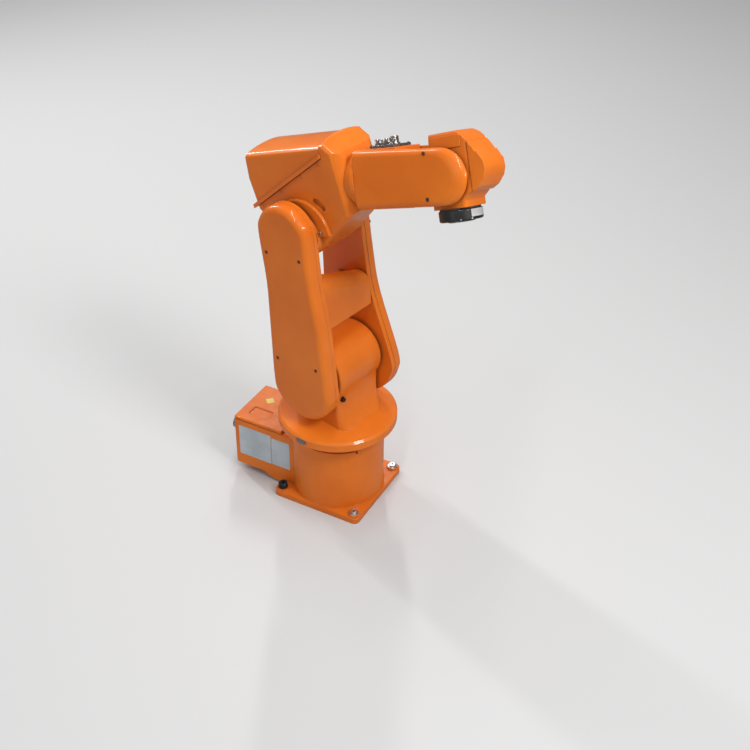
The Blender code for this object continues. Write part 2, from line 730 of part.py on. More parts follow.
def connection_plate():
    """Plate on top of the root with a round connector and four air outlets."""
    low = FORK_HALF_HEIGHT + SEAT_GAP
    top = low + CONNECTION_PLATE_THICKNESS
    half = CONNECTION_PLATE_WIDTH / 2
    end = CONNECTION_START + CONNECTION_PLATE_LENGTH
    plate = block("connection_plate", AXIS_4, (CONNECTION_START, -half, low), (end, half, top))
    middle = CONNECTION_START + CONNECTION_PLATE_LENGTH * 0.68
    join(plate, drum("connector", AXIS_4, "Z", (middle, 0, 0), (low + 0.001, top + CONNECTOR_HEIGHT),
                     CONNECTOR_RADIUS, steps=20))
    for row in (0, 1):
        for side in (-1, 1):
            spot = (CONNECTION_START + 0.008 + row * 0.012, side * 0.010, 0)
            join(plate, drum("air_outlet", AXIS_4, "Z", spot, (low + 0.001, top + AIR_OUTLET_HEIGHT),
                             AIR_OUTLET_RADIUS, steps=12))
    return aluminium(plate)


# Wrist

def wrist_outline():
    """Side view of the wrist: a tower above the axis, flat at the cover's seam, a neck below."""
    end = WRIST_COLLAR_START - SEAT_GAP
    back = arc((0, 0), WRIST_BODY_RADIUS, 308, 230, 6)
    return back + [
        (-WRIST_BODY_RADIUS + 0.006, -WRIST_REAR),
        (-WRIST_TOP, -WRIST_REAR + 0.003),
        (-WRIST_TOP - 0.001, WRIST_SEAM),
        (0.029, WRIST_SEAM),
        (0.033, 0.038),
        (end - 0.010, WRIST_NECK_HALF),
        (end, WRIST_NECK_HALF),
        (end, -WRIST_NECK_HALF),
        (end - 0.010, -WRIST_NECK_HALF)]


def wrist_housing():
    """Body between the tines, with a hub on each side."""
    end = WRIST_COLLAR_START - SEAT_GAP
    housing = slab("wrist_housing", AXIS_5, wrist_outline(), (-WRIST_HALF_WIDTH, WRIST_HALF_WIDTH),
                   bevel=WRIST_ROUND, steps=2,
                   keep=lambda edge: all(abs(vert.co.x - end) < 0.00001 for vert in edge.verts))
    hub = drum("wrist_hub", AXIS_5, "Y", (0, 0, 0), (-TINE_INNER + SEAT_GAP, TINE_INNER - SEAT_GAP),
               WRIST_HUB_RADIUS, steps=32)
    return painted(join(housing, hub))


def wrist_collar():
    """Narrow dark collar in front of the flange."""
    span = (WRIST_COLLAR_START, WRIST_COLLAR_START + WRIST_COLLAR_LENGTH)
    return dark(drum("wrist_collar", AXIS_5, "X", (0, 0, 0), span, WRIST_COLLAR_RADIUS, steps=32))


def wrist_cover():
    """Humped cover on the seam of the wrist housing."""
    low = WRIST_SEAM + COVER_SEAM
    top = low + WRIST_COVER_DEPTH
    outline = [
        (0.030, low),
        (0.024, top - 0.015),
        (0.012, top - 0.004),
        (0.000, top),
        (-0.012, top - 0.001),
        (-0.022, top - 0.008),
        (-0.046, low + 0.004),
        (-WRIST_TOP, low + 0.001),
        (-WRIST_TOP - 0.001, low)]
    return painted(slab("wrist_cover", AXIS_5, outline, (-WRIST_HALF_WIDTH, WRIST_HALF_WIDTH),
                        bevel=WRIST_COVER_ROUND, steps=3,
                        keep=lambda edge: all(abs(vert.co.z - low) < 0.00001 for vert in edge.verts)))


def wrist_panel(side):
    """Thin raised panel on one side of the wrist."""
    name = "right_wrist_panel" if side < 0 else "left_wrist_panel"
    face = WRIST_HALF_WIDTH + SEAT_GAP
    span = sorted((side * face, side * (face + WRIST_PANEL_THICKNESS)))
    outline = [(x - 0.046, z + 0.009) for x, z in rounded_rectangle(0.009, 0.028, 0.003)]
    return painted(slab(name, AXIS_5, outline, span))


# Tool flange

def flange_ring():
    """Dark disc that turns on axis 6, with a shallow seat for its silver mark."""
    end = FLANGE_REACH - FLANGE_FACE_HEIGHT
    start = WRIST_COLLAR_START + WRIST_COLLAR_LENGTH + SEAT_GAP
    ring = turned("flange_ring", AXIS_6, [
        (0.0, end),
        (FLANGE_RADIUS - 0.0015, end),
        (FLANGE_RADIUS, end - 0.0015),
        (FLANGE_RADIUS, start + 0.001),
        (FLANGE_RADIUS - 0.001, start),
        (0.0, start)], lathe=LATHE_TO_X, steps=48)
    return dark(ring)


def flange_face():
    """Raised tool face with its centring bore and four tapped holes."""
    start = FLANGE_REACH - FLANGE_FACE_HEIGHT + SEAT_GAP
    face = drum("flange_face", AXIS_6, "X", (0, 0, 0), (start, FLANGE_REACH), FLANGE_FACE_RADIUS, steps=36)
    bore = drum("flange_bore", AXIS_6, "X", (0, 0, 0), (start - CUT_MARGIN, FLANGE_REACH + CUT_MARGIN),
                FLANGE_BORE_RADIUS, steps=24)
    cut(face, bore)
    for index in range(4):
        angle = math.radians(45 + 90 * index)
        spot = (0, FLANGE_HOLE_CIRCLE * math.cos(angle), FLANGE_HOLE_CIRCLE * math.sin(angle))
        cut(face, drum("flange_hole", AXIS_6, "X", spot, (start - CUT_MARGIN, FLANGE_REACH + CUT_MARGIN),
                       FLANGE_HOLE_RADIUS, steps=10))
    return steel(face)


clear_scene()
PARTS = new_collection(PARTS_NAME)
CUTTERS = new_collection(CUTTERS_NAME)
AXIS_1 = new_frame("axis_1", None, (0, 0, 0), "Z", TURN)
AXIS_2 = new_frame("axis_2", AXIS_1, (0, 0, AXIS_2_HEIGHT), "Y", SHOULDER_LEAN)
AXIS_3 = new_frame("axis_3", AXIS_2, (0, 0, LOWER_ARM_LENGTH), "Y", ELBOW_BEND)
AXIS_4 = new_frame("axis_4", AXIS_3, (0, 0, FOREARM_RISE), "X", FOREARM_ROLL)
AXIS_5 = new_frame("axis_5", AXIS_4, (WRIST_REACH, 0, 0), "Y", WRIST_BEND)
AXIS_6 = new_frame("axis_6", AXIS_5, (0, 0, 0), "X", 0.0)

base_casting()
bearing_ring()
housing_lid()
rear_panel()
motor_socket()
signal_socket()
air_inlets()
shoulder_casting()
shoulder_stop()
for plate_side in (-1, 1):
    arm_plate(plate_side)
arm_web()
elbow_casting()
elbow_cover()
for tine_side in (-1, 1):
    tine(tine_side)
fork_root()
connection_plate()
wrist_housing()
wrist_collar()
wrist_cover()
for panel_side in (-1, 1):
    wrist_panel(panel_side)
flange_ring()
flange_face()
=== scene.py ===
import math

import bmesh
import bpy
from mathutils import Matrix, Vector


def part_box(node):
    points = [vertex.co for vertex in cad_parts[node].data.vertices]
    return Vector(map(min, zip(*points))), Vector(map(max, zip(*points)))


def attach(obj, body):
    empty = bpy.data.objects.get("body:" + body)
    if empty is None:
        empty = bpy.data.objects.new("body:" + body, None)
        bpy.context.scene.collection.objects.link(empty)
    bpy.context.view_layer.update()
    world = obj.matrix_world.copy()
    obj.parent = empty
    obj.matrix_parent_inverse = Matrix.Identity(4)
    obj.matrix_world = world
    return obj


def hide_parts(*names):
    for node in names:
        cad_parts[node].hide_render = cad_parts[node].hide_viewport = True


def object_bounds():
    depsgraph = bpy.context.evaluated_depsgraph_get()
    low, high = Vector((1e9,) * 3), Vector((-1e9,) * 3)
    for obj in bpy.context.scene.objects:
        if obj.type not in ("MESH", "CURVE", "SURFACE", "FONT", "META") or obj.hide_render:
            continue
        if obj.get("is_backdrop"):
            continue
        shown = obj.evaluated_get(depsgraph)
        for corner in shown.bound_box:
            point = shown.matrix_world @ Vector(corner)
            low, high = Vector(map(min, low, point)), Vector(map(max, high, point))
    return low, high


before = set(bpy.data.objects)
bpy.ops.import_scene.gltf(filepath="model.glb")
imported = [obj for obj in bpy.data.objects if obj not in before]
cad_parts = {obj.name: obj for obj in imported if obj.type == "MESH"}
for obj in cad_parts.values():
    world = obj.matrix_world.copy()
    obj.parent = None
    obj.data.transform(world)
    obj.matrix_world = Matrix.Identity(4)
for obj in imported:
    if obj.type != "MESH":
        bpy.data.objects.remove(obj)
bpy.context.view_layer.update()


# Camera, floor and lamps
# The arm is looked down on from its front right, with plain soft lamps round it.
# The floor and the background are pale grey, and both are darker where the paint mirrors them.

PHOTO_SIDE = 750
EYE = Vector((0.8723, -1.5061, 1.5110))
YAW, PITCH, ROLL = 0.500, 0.617, 0.006
FOCAL_PIXELS = 1185.9
CENTRE_PIXEL = (361.6, 365.3)
SENSOR = 36.0

forward = Vector((-math.sin(YAW) * math.cos(PITCH), math.cos(YAW) * math.cos(PITCH),
                  -math.sin(PITCH)))
level = Vector((math.cos(YAW), math.sin(YAW), 0.0))
upward = level.cross(forward)
right_way = math.cos(ROLL) * level + math.sin(ROLL) * upward
up_way = math.cos(ROLL) * upward - math.sin(ROLL) * level

lens = bpy.data.cameras.new("photo_camera")
lens.sensor_width = SENSOR
lens.lens = FOCAL_PIXELS * SENSOR / PHOTO_SIDE
lens.shift_x = (PHOTO_SIDE / 2 - CENTRE_PIXEL[0]) / PHOTO_SIDE
lens.shift_y = (CENTRE_PIXEL[1] - PHOTO_SIDE / 2) / PHOTO_SIDE
camera = bpy.data.objects.new("photo_camera", lens)
bpy.context.scene.collection.objects.link(camera)
turned_view = Matrix((right_way, up_way, -forward)).transposed().to_4x4()
camera.matrix_world = Matrix.Translation(EYE) @ turned_view
bpy.context.scene.camera = camera
bpy.context.scene.view_settings.view_transform = "Standard"

FLOOR_HALF = 9.0
FLOOR_GREY = (0.60, 0.60, 0.60, 1.0)
FLOOR_MIRRORED = (0.22, 0.22, 0.22, 1.0)
BACKDROP_GREY = (0.80, 0.80, 0.80, 1.0)
ROOM_LIGHT = 0.40
MIRRORED_LIGHT = 0.12
FLOOR_ROUGHNESS = 0.75
GRAIN_SCALE = 40.0
GRAIN_RELIEF = 0.05

bm = bmesh.new()
bmesh.ops.create_grid(bm, x_segments=2, y_segments=2, size=FLOOR_HALF)
floor_mesh = bpy.data.meshes.new("floor")
bm.to_mesh(floor_mesh)
bm.free()
floor = bpy.data.objects.new("floor", floor_mesh)
bpy.context.scene.collection.objects.link(floor)
floor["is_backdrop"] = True

floor_paint = bpy.data.materials.new("floor_paint")
floor_paint.use_nodes = True
shader = floor_paint.node_tree.nodes["Principled BSDF"]
floor_nodes, floor_links = floor_paint.node_tree.nodes, floor_paint.node_tree.links
floor_ray = floor_nodes.new("ShaderNodeLightPath")
floor_tone = floor_nodes.new("ShaderNodeMix")
floor_tone.data_type = "RGBA"
floor_tone.inputs[6].default_value = FLOOR_GREY
floor_tone.inputs[7].default_value = FLOOR_MIRRORED
floor_links.new(floor_ray.outputs["Is Glossy Ray"], floor_tone.inputs["Factor"])
floor_links.new(floor_tone.outputs[2], shader.inputs["Base Color"])
shader.inputs["Roughness"].default_value = FLOOR_ROUGHNESS
grain = floor_nodes.new("ShaderNodeTexNoise")
grain.inputs["Scale"].default_value = GRAIN_SCALE
relief = floor_nodes.new("ShaderNodeBump")
relief.inputs["Strength"].default_value = GRAIN_RELIEF
floor_links.new(grain.outputs["Fac"], relief.inputs["Height"])
floor_links.new(relief.outputs["Normal"], shader.inputs["Normal"])
floor_mesh.materials.append(floor_paint)

world = bpy.data.worlds.new("studio")
world.use_nodes = True
bpy.context.scene.world = world
sky = world.node_tree
room = sky.nodes["Background"]
room.inputs["Color"].default_value = (1.0, 1.0, 1.0, 1.0)
room.inputs["Strength"].default_value = ROOM_LIGHT
backdrop = sky.nodes.new("ShaderNodeBackground")
backdrop.inputs["Color"].default_value = BACKDROP_GREY
dimmed = sky.nodes.new("ShaderNodeBackground")
dimmed.inputs["Color"].default_value = (1.0, 1.0, 1.0, 1.0)
dimmed.inputs["Strength"].default_value = MIRRORED_LIGHT
seen = sky.nodes.new("ShaderNodeLightPath")
mirrored = sky.nodes.new("ShaderNodeMixShader")
choose = sky.nodes.new("ShaderNodeMixShader")
sky.links.new(seen.outputs["Is Glossy Ray"], mirrored.inputs[0])
sky.links.new(room.outputs[0], mirrored.inputs[1])
sky.links.new(dimmed.outputs[0], mirrored.inputs[2])
sky.links.new(seen.outputs["Is Camera Ray"], choose.inputs[0])
sky.links.new(mirrored.outputs[0], choose.inputs[1])
sky.links.new(backdrop.outputs[0], choose.inputs[2])
sky.links.new(choose.outputs[0], sky.nodes["World Output"].inputs["Surface"])

LAMPS = {
    "key_lamp": ((1.6, -0.5, 2.1), (0.6, 0.6), 28.0),
    "near_tube": ((0.15, -0.35, 2.5), (0.10, 2.4), 22.0),
    "far_tube": ((-1.52, 2.55, 2.6), (0.16, 0.9), 34.0),
    "side_tube": ((-2.3, 0.8, 1.9), (0.14, 1.6), 24.0),
    "front_lamp": ((-0.9, -2.3, 1.5), (1.2, 1.2), 3.0),
}
AIM = Vector((0.05, 0.0, 0.40))
for lamp_name, (spot, sides, watts) in LAMPS.items():
    lamp_data = bpy.data.lights.new(lamp_name, "AREA")
    lamp_data.shape = "RECTANGLE"
    lamp_data.size, lamp_data.size_y = sides
    lamp_data.energy = watts
    lamp = bpy.data.objects.new(lamp_name, lamp_data)
    bpy.context.scene.collection.objects.link(lamp)
    lamp.location = spot
    lamp.rotation_euler = (AIM - Vector(spot)).to_track_quat("-Z", "Y").to_euler()


# Base casting
# Cast aluminium, painted orange: a square foot, a round column and the connector housing behind it.
# Its edges are rounded by the mould, and the paint has the slight ripple of a sprayed coat.

ORANGE = (0.800, 0.192, 0.015)
ORANGE_DEEP = (0.700, 0.150, 0.010)
PRIMER = (0.88, 0.44, 0.20)
# Dark colour painted into hollows and gaps on the paint: partly grime, partly painted shade.
GRIME_AND_SHADE = (0.10, 0.055, 0.035)

# Limits within which a noise, a corner's cosine or the openness of a place counts from none to all.
TONE_NOISE = (0.36, 0.66)
GLOSS_NOISE = (0.30, 0.70)
RUBBED_NOISE = (0.42, 0.62)
SHADE_AND_GRIME_NOISE = (0.30, 0.62)
CORNER_COSINE = (0.985, 0.90)
OPEN_PLACE = (0.60, 0.95)
# How closed a place must be before it is painted darker, as grime and painted shade.
HOLLOW_PLACE = (0.80, 0.25)
HOLLOW_REACH = 0.010
RIPPLE_DEPTH = 0.001


def finish(name, colour, second, worn, dirt_and_shade_colour, roughness, metallic=0.0, coat=0.0, ripple=350.0,
           ripple_height=0.008, wear=0.5, dirt_and_shade=0.5, edge=0.0012, patches=8.0, streak=(1.0, 1.0, 1.0),
           gloss=0.5):
    """Two close tones of one colour, rubbed edges, grime and painted shade darkening the corners, uneven
    gloss and a fine ripple.
    """
    material = bpy.data.materials.new(name)
    material.use_nodes = True
    nodes = material.node_tree.nodes
    links = material.node_tree.links
    shader = nodes["Principled BSDF"]
    shader.inputs["Metallic"].default_value = metallic
    shader.inputs["Coat Weight"].default_value = coat
    shader.inputs["Coat Roughness"].default_value = 0.05
    shader.inputs["Specular IOR Level"].default_value = gloss
    place = nodes.new("ShaderNodeTexCoord")
    stretch = nodes.new("ShaderNodeMapping")
    stretch.inputs["Scale"].default_value = streak
    links.new(place.outputs["Object"], stretch.inputs["Vector"])

    def noise(scale, detail):
        node = nodes.new("ShaderNodeTexNoise")
        node.inputs["Scale"].default_value = scale
        node.inputs["Detail"].default_value = detail
        links.new(stretch.outputs["Vector"], node.inputs["Vector"])
        return node.outputs["Fac"]

    def spread(source, limits, low, high):
        node = nodes.new("ShaderNodeMapRange")
        for label, value in zip(("From Min", "From Max", "To Min", "To Max"), (*limits, low, high)):
            node.inputs[label].default_value = value
        links.new(source, node.inputs["Value"])
        return node.outputs["Result"]

    def times(first, last):
        node = nodes.new("ShaderNodeMath")
        node.operation = "MULTIPLY"
        links.new(first, node.inputs[0])
        links.new(last, node.inputs[1])
        return node.outputs[0]

    def blend_colours(amount, first, last):
        node = nodes.new("ShaderNodeMix")
        node.data_type = "RGBA"
        links.new(amount, node.inputs["Factor"])
        if isinstance(first, tuple):
            node.inputs[6].default_value = (*first, 1.0)
        else:
            links.new(first, node.inputs[6])
        node.inputs[7].default_value = (*last, 1.0)
        return node.outputs[2]

    cloud = noise(patches, 5.0)
    fine = noise(patches * 9.0, 4.0)
    rounded = nodes.new("ShaderNodeBevel")
    rounded.samples = 4
    rounded.inputs["Radius"].default_value = edge
    facing = nodes.new("ShaderNodeNewGeometry")
    along = nodes.new("ShaderNodeVectorMath")
    along.operation = "DOT_PRODUCT"
    links.new(rounded.outputs["Normal"], along.inputs[0])
    links.new(facing.outputs["Normal"], along.inputs[1])
    # An occlusion mask finds the hollows, which are painted darker as grime and painted shade.
    hollow = nodes.new("ShaderNodeAmbientOcclusion")
    hollow.samples = 4
    hollow.inputs["Distance"].default_value = HOLLOW_REACH
    openness = hollow.outputs["AO"]
    corner = spread(along.outputs["Value"], CORNER_COSINE, 0.0, 1.0)
    scuffed = times(corner, spread(fine, RUBBED_NOISE, 0.0, wear))
    rubbed = times(scuffed, spread(openness, OPEN_PLACE, 0.0, 1.0))
    # Patchy darkening in hollows: painted shade mixed with grime.
    grime_and_shade = times(spread(openness, HOLLOW_PLACE, 0.0, dirt_and_shade), spread(cloud, SHADE_AND_GRIME_NOISE, 0.35, 1.0))
    toned = blend_colours(spread(cloud, TONE_NOISE, 0.0, 1.0), colour, second)
    marked = blend_colours(rubbed, toned, worn)
    soiled_and_shaded = blend_colours(grime_and_shade, marked, dirt_and_shade_colour)
    links.new(soiled_and_shaded, shader.inputs["Base Color"])
    matt = spread(fine, GLOSS_NOISE, roughness - 0.05, roughness + 0.09)
    links.new(matt, shader.inputs["Roughness"])
    bump = nodes.new("ShaderNodeBump")
    bump.inputs["Strength"].default_value = ripple_height
    bump.inputs["Distance"].default_value = RIPPLE_DEPTH
    links.new(noise(ripple, 2.0), bump.inputs["Height"])
    links.new(rounded.outputs["Normal"], bump.inputs["Normal"])
    links.new(bump.outputs["Normal"], shader.inputs["Normal"])
    return material


orange_paint = finish("orange_paint", ORANGE, ORANGE_DEEP, PRIMER, GRIME_AND_SHADE, 0.38, coat=0.45, wear=0.35,
                      dirt_and_shade=0.55, gloss=0.2)

MERGE = 0.00001
FLAT_ANGLE = math.radians(0.5)
SHARP_ANGLE = math.radians(32.0)


def only_verts(geometry):
    """The vertices among the elements that an operator gives back."""
    return [item for item in geometry if isinstance(item, bmesh.types.BMVert)]


def reshape(solid, operation, bm):
    """Joins a drawn form to a solid, trims it by the form or cuts the form out; modifiers are applied."""
    bmesh.ops.recalc_face_normals(bm, faces=bm.faces)
    mesh = bpy.data.meshes.new("tool")
    bm.to_mesh(mesh)
    bm.free()
    tool = bpy.data.objects.new("tool", mesh)
    bpy.context.scene.collection.objects.link(tool)
    step = solid.modifiers.new("reshape", "BOOLEAN")
    step.operation = operation
    step.object = tool
    evaluated = solid.evaluated_get(bpy.context.evaluated_depsgraph_get())
    shaped = bpy.data.meshes.new_from_object(evaluated)
    solid.modifiers.clear()
    solid.data = shaped
    bpy.data.objects.remove(tool)


def add_slab(bm, outline, low, high, where):
    """A side view in X and Z drawn out along Y between two places."""
    corners = [bm.verts.new((x, low, z)) for x, z in outline]
    grown = bmesh.ops.extrude_face_region(bm, geom=[bm.faces.new(corners)])["geom"]
    raised = only_verts(grown)
    bmesh.ops.translate(bm, vec=(0, high - low, 0), verts=raised)
    bmesh.ops.transform(bm, matrix=where, verts=corners + raised)


def rounded_solid(name, node, body, material, width, changes=()):
    """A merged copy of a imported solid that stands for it, reshaped if need be, with its edges rounded."""
    bm = bmesh.new()
    bm.from_mesh(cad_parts[node].data)
    bmesh.ops.remove_doubles(bm, verts=bm.verts, dist=MERGE)
    bmesh.ops.dissolve_limit(bm, angle_limit=FLAT_ANGLE, verts=bm.verts, edges=bm.edges)
    mesh = bpy.data.meshes.new(name)
    bm.to_mesh(mesh)
    bm.free()
    solid = bpy.data.objects.new(name, mesh)
    bpy.context.scene.collection.objects.link(solid)
    for operation, tool in changes:
        reshape(solid, operation, tool)
    solid.data.materials.clear()
    solid.data.materials.append(material)
    solid.data.shade_smooth()
    solid.data.set_sharp_from_angle(angle=SHARP_ANGLE)
    if width > 0:
        bevel = solid.modifiers.new("rounded_edges", "BEVEL")
        bevel.width = width
        bevel.segments = 3
        bevel.limit_method = "ANGLE"
        bevel.angle_limit = SHARP_ANGLE
    flats = solid.modifiers.new("flat_faces", "WEIGHTED_NORMAL")
    flats.keep_sharp = True
    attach(solid, body)
    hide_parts(node)
    return solid


def place_piece(name, bm, where, body, material):
    """Turns a bmesh that was drawn in a link's own frame into a piece that rides on a body."""
    bmesh.ops.recalc_face_normals(bm, faces=bm.faces)
    mesh = bpy.data.meshes.new(name)
    bm.to_mesh(mesh)
    bm.free()
    mesh.transform(where)
    mesh.shade_smooth()
    mesh.set_sharp_from_angle(angle=SHARP_ANGLE)
    mesh.materials.append(material)
    piece = bpy.data.objects.new(name, mesh)
    bpy.context.scene.collection.objects.link(piece)
    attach(piece, body)
    return piece


rounded_solid("base_skin", "base_casting", "base", orange_paint, 0.0014)


# Foot bolts
# Four socket-head cap screws on plain washers hold the foot down: three zinc plated and one blackened.
# Each head is turned with a small chamfer and has a hexagon pressed into it.

ZINC = (0.78, 0.78, 0.76)
ZINC_DULL = (0.58, 0.58, 0.57)
ZINC_BRIGHT = (0.92, 0.92, 0.91)
BLACKENED = (0.025, 0.025, 0.027)
BLACKENED_GREY = (0.045, 0.045, 0.048)
BARE_STEEL = (0.35, 0.35, 0.36)
# Dark colour painted into hollows of metal parts: oil and painted shade.
OIL_AND_SHADE = (0.03, 0.025, 0.02)
LEVEL = 0.000001
HAIR = 0.00005
LIFT = 0.0001
HERE = Matrix.Identity(4)

zinc = finish("zinc_plate", ZINC, ZINC_DULL, ZINC_BRIGHT, OIL_AND_SHADE, 0.32, metallic=1.0, wear=0.5, dirt_and_shade=0.6,
              edge=0.0004, patches=60.0, ripple=2500.0)
black_steel = finish("blackened_steel", BLACKENED, BLACKENED_GREY, BARE_STEEL, OIL_AND_SHADE, 0.42, metallic=0.6,
                     wear=0.6, dirt_and_shade=0.3, edge=0.0004, patches=60.0, ripple=2500.0)


def edges_between(bm, verts):
    """The edges whose two ends are both among some vertices."""
    return [edge for edge in bm.edges if all(vert in verts for vert in edge.verts)]


def height_difference(edge):
    """How far apart in height an edge's two ends are."""
    return abs(edge.verts[0].co.z - edge.verts[1].co.z)


def bevel_edges(bm, edges, verts, offset, segments):
    """Bevels edges of one shape and gives back all the vertices that it then has."""
    done = bmesh.ops.bevel(bm, geom=edges, offset=offset, segments=segments, profile=0.5, affect="EDGES",
                           material=-1)
    return list({vert for face in done["faces"] for vert in face.verts}
                | {vert for vert in verts if vert.is_valid})


def add_cap_screw(bm, radius, height, hexagon, depth, chamfer, where):
    """A round head standing on z 0 with a chamfered rim and a hexagon socket, moved to its place."""
    top = Matrix.Translation((0, 0, height))
    crown = bmesh.ops.create_circle(bm, segments=28, radius=radius - chamfer, matrix=top)["verts"]
    hex_rim = bmesh.ops.create_circle(bm, segments=6, radius=hexagon, matrix=top)["verts"]
    crown_edges = edges_between(bm, crown)
    hex_edges = edges_between(bm, hex_rim)
    made = list(crown) + list(hex_rim)
    bmesh.ops.bridge_loops(bm, edges=crown_edges + hex_edges)

    def step(edges, drop, scale):
        grown = bmesh.ops.extrude_edge_only(bm, edges=edges)["geom"]
        verts = only_verts(grown)
        bmesh.ops.scale(bm, vec=(scale, scale, 1.0), verts=verts)
        bmesh.ops.translate(bm, vec=(0, 0, -drop), verts=verts)
        made.extend(verts)
        return [item for item in grown if isinstance(item, bmesh.types.BMEdge)]

    shoulder = step(crown_edges, chamfer, radius / (radius - chamfer))
    base = step(shoulder, height - chamfer, 1.0)
    bmesh.ops.contextual_create(bm, geom=base)
    bottom = step(hex_edges, depth, 1.0)
    bmesh.ops.contextual_create(bm, geom=bottom)
    bmesh.ops.transform(bm, matrix=where, verts=made)


def add_ring(bm, radius, low, high, where, segments=32, bevel=0.0):
    """A disc between two heights on its own axis, its rims bevelled, moved to its place."""
    made = bmesh.ops.create_cone(bm, cap_ends=True, segments=segments, radius1=radius, radius2=radius,
                                 depth=high - low, matrix=Matrix.Translation((0, 0, (low + high) / 2)))
    verts = made["verts"]
    if bevel > 0:
        rims = [edge for edge in edges_between(bm, verts) if height_difference(edge) < LEVEL]
        verts = bevel_edges(bm, rims, verts, bevel, 2)
    bmesh.ops.transform(bm, matrix=where, verts=verts)


FOOT_BOLT_PLACE = 0.077
FOOT_PAD_TOP = 0.0150
WASHER_RADIUS = 0.0095
WASHER_THICKNESS = 0.0016
WASHER_BEVEL = 0.0003
LOW_HEAD = (0.0062, 0.0034, 0.0030, 0.0022, 0.0008)
TALL_HEAD = (0.0085, 0.0085, 0.0042, 0.0045, 0.0009)
for label, sign_x, sign_y, plating, head in (
        ("front_right", 1, -1, zinc, LOW_HEAD), ("front_left", 1, 1, zinc, LOW_HEAD),
        ("rear_right", -1, -1, black_steel, TALL_HEAD), ("rear_left", -1, 1, zinc, LOW_HEAD)):
    spot = Matrix.Translation((sign_x * FOOT_BOLT_PLACE, sign_y * FOOT_BOLT_PLACE, FOOT_PAD_TOP + LIFT))
    bm = bmesh.new()
    add_ring(bm, WASHER_RADIUS, 0.0, WASHER_THICKNESS, spot, bevel=WASHER_BEVEL)
    add_cap_screw(bm, *head, spot @ Matrix.Translation((0, 0, WASHER_THICKNESS + HAIR)))
    place_piece("foot_bolt_" + label, bm, HERE, "base", plating)


# Housing lid and side films
# The lid is a pressed cover, painted with the casting. Plain pale films lie on the right side of the
# housing, and a plain yellow square lies on the lid: each is a thin sheet with round corners, stuck on.

HOUSING_SIDE = -0.0565
FILM = 0.0003
SIDE_FILMS = (("rear", -0.186, -0.1145, 0.040, 0.108), ("front", -0.1135, -0.073, 0.041, 0.104))
SIDE_FILM_CORNER = 0.0025
LID_FILM_SIDE, LID_FILM_CORNER = 0.0150, 0.0010
LID_FILM_SPOT = (-0.160, 0.016)
PALE_FILM = (0.50, 0.56, 0.60)
PALE_FILM_GREY = (0.42, 0.47, 0.51)
WHITE_EDGE = (0.72, 0.74, 0.76)
# Dark colour painted into hollows of films, plastics and rubber: dust and painted shade.
DUST_AND_SHADE = (0.22, 0.20, 0.18)
YELLOW_FILM = (0.80, 0.60, 0.02)
YELLOW_DEEP = (0.66, 0.47, 0.02)

rounded_solid("lid_skin", "housing_lid", "base", orange_paint, 0.0009)
pale_film = finish("pale_film", PALE_FILM, PALE_FILM_GREY, WHITE_EDGE, DUST_AND_SHADE, 0.38, wear=0.6, dirt_and_shade=0.5,
                   edge=0.0005, patches=30.0, ripple=300.0, ripple_height=0.02)
yellow_film = finish("yellow_film", YELLOW_FILM, YELLOW_DEEP, WHITE_EDGE, DUST_AND_SHADE, 0.38, wear=0.4, dirt_and_shade=0.5,
                     edge=0.0005, patches=60.0, ripple=300.0, ripple_height=0.02)


def add_film(bm, width, height, corner, thickness, where):
    """A thin sheet in its own X and Y with round corners, its underside on z 0."""
    made = bmesh.ops.create_cube(bm, size=1.0)["verts"]
    bmesh.ops.scale(bm, vec=(width, height, thickness), verts=made)
    bmesh.ops.translate(bm, vec=(0, 0, thickness / 2), verts=made)
    uprights = [edge for edge in edges_between(bm, made) if height_difference(edge) > thickness / 2]
    bmesh.ops.transform(bm, matrix=where, verts=bevel_edges(bm, uprights, made, corner, 5))


TO_RIGHT_SIDE = Matrix.Rotation(math.radians(90), 4, "X")
for label, start, end, low, high in SIDE_FILMS:
    bm = bmesh.new()
    middle = Matrix.Translation(((start + end) / 2, HOUSING_SIDE - HAIR, (low + high) / 2))
    add_film(bm, end - start, high - low, SIDE_FILM_CORNER, FILM, middle @ TO_RIGHT_SIDE)
    place_piece("side_film_" + label, bm, HERE, "base", pale_film)

lid_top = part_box("housing_lid")[1].z
bm = bmesh.new()
add_film(bm, LID_FILM_SIDE, LID_FILM_SIDE, LID_FILM_CORNER, FILM,
         Matrix.Translation((*LID_FILM_SPOT, lid_top + HAIR)) @ Matrix.Rotation(math.radians(45), 4, "Z"))
place_piece("lid_film", bm, HERE, "base", yellow_film)


# Rear panel with its sockets and air inlets
# A bare aluminium plate on six small screws carries the motor socket, the round signal socket and four
# push-in air inlets. The sockets are open to the rear and show their pins on a dark insert.

PANEL = (0.66, 0.66, 0.67)
PANEL_GREY = (0.50, 0.50, 0.51)
NICKEL = (0.70, 0.68, 0.63)
NICKEL_DULL = (0.48, 0.46, 0.43)
PLASTIC = (0.020, 0.020, 0.022)
PLASTIC_GREY = (0.035, 0.035, 0.038)
PLASTIC_WORN = (0.10, 0.10, 0.10)
BRASS = (0.72, 0.52, 0.22)
BRASS_DULL = (0.50, 0.34, 0.13)

